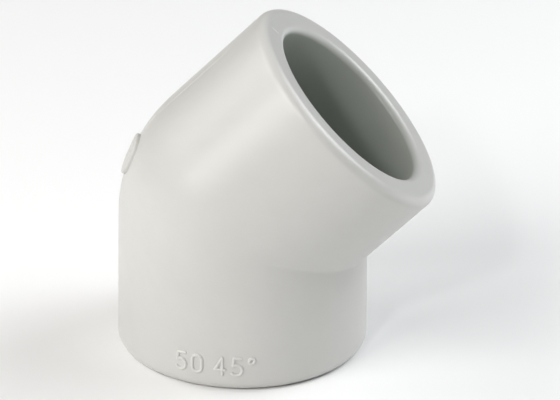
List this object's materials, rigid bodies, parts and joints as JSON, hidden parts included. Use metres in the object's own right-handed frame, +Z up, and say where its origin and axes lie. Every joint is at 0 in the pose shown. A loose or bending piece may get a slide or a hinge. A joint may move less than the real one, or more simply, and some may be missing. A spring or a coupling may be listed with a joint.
{
  "type": "pvc elbow fitting",
  "caption": "45 degree PVC pipe elbow with a plain cement socket at both ends, a rounded bend, and an open waterway through it.",
  "frame": {"origin": "centre of the lower socket's mouth, in the plane that the elbow stands on", "axes": "+Z up the lower socket's axis; +X the way the upper socket leans; both axes lie in the XZ plane, which halves the elbow"},
  "size_m": [0.0856, 0.068, 0.093],
  "materials": {
    "grey_pvc": "satin, lightly glossy moulded plastic"
  },
  "bodies": {
    "root": {"elbow_body": "grey_pvc", "gate_vestige": "grey_pvc", "angle_mark": "grey_pvc"}
  },
  "joints": []
}
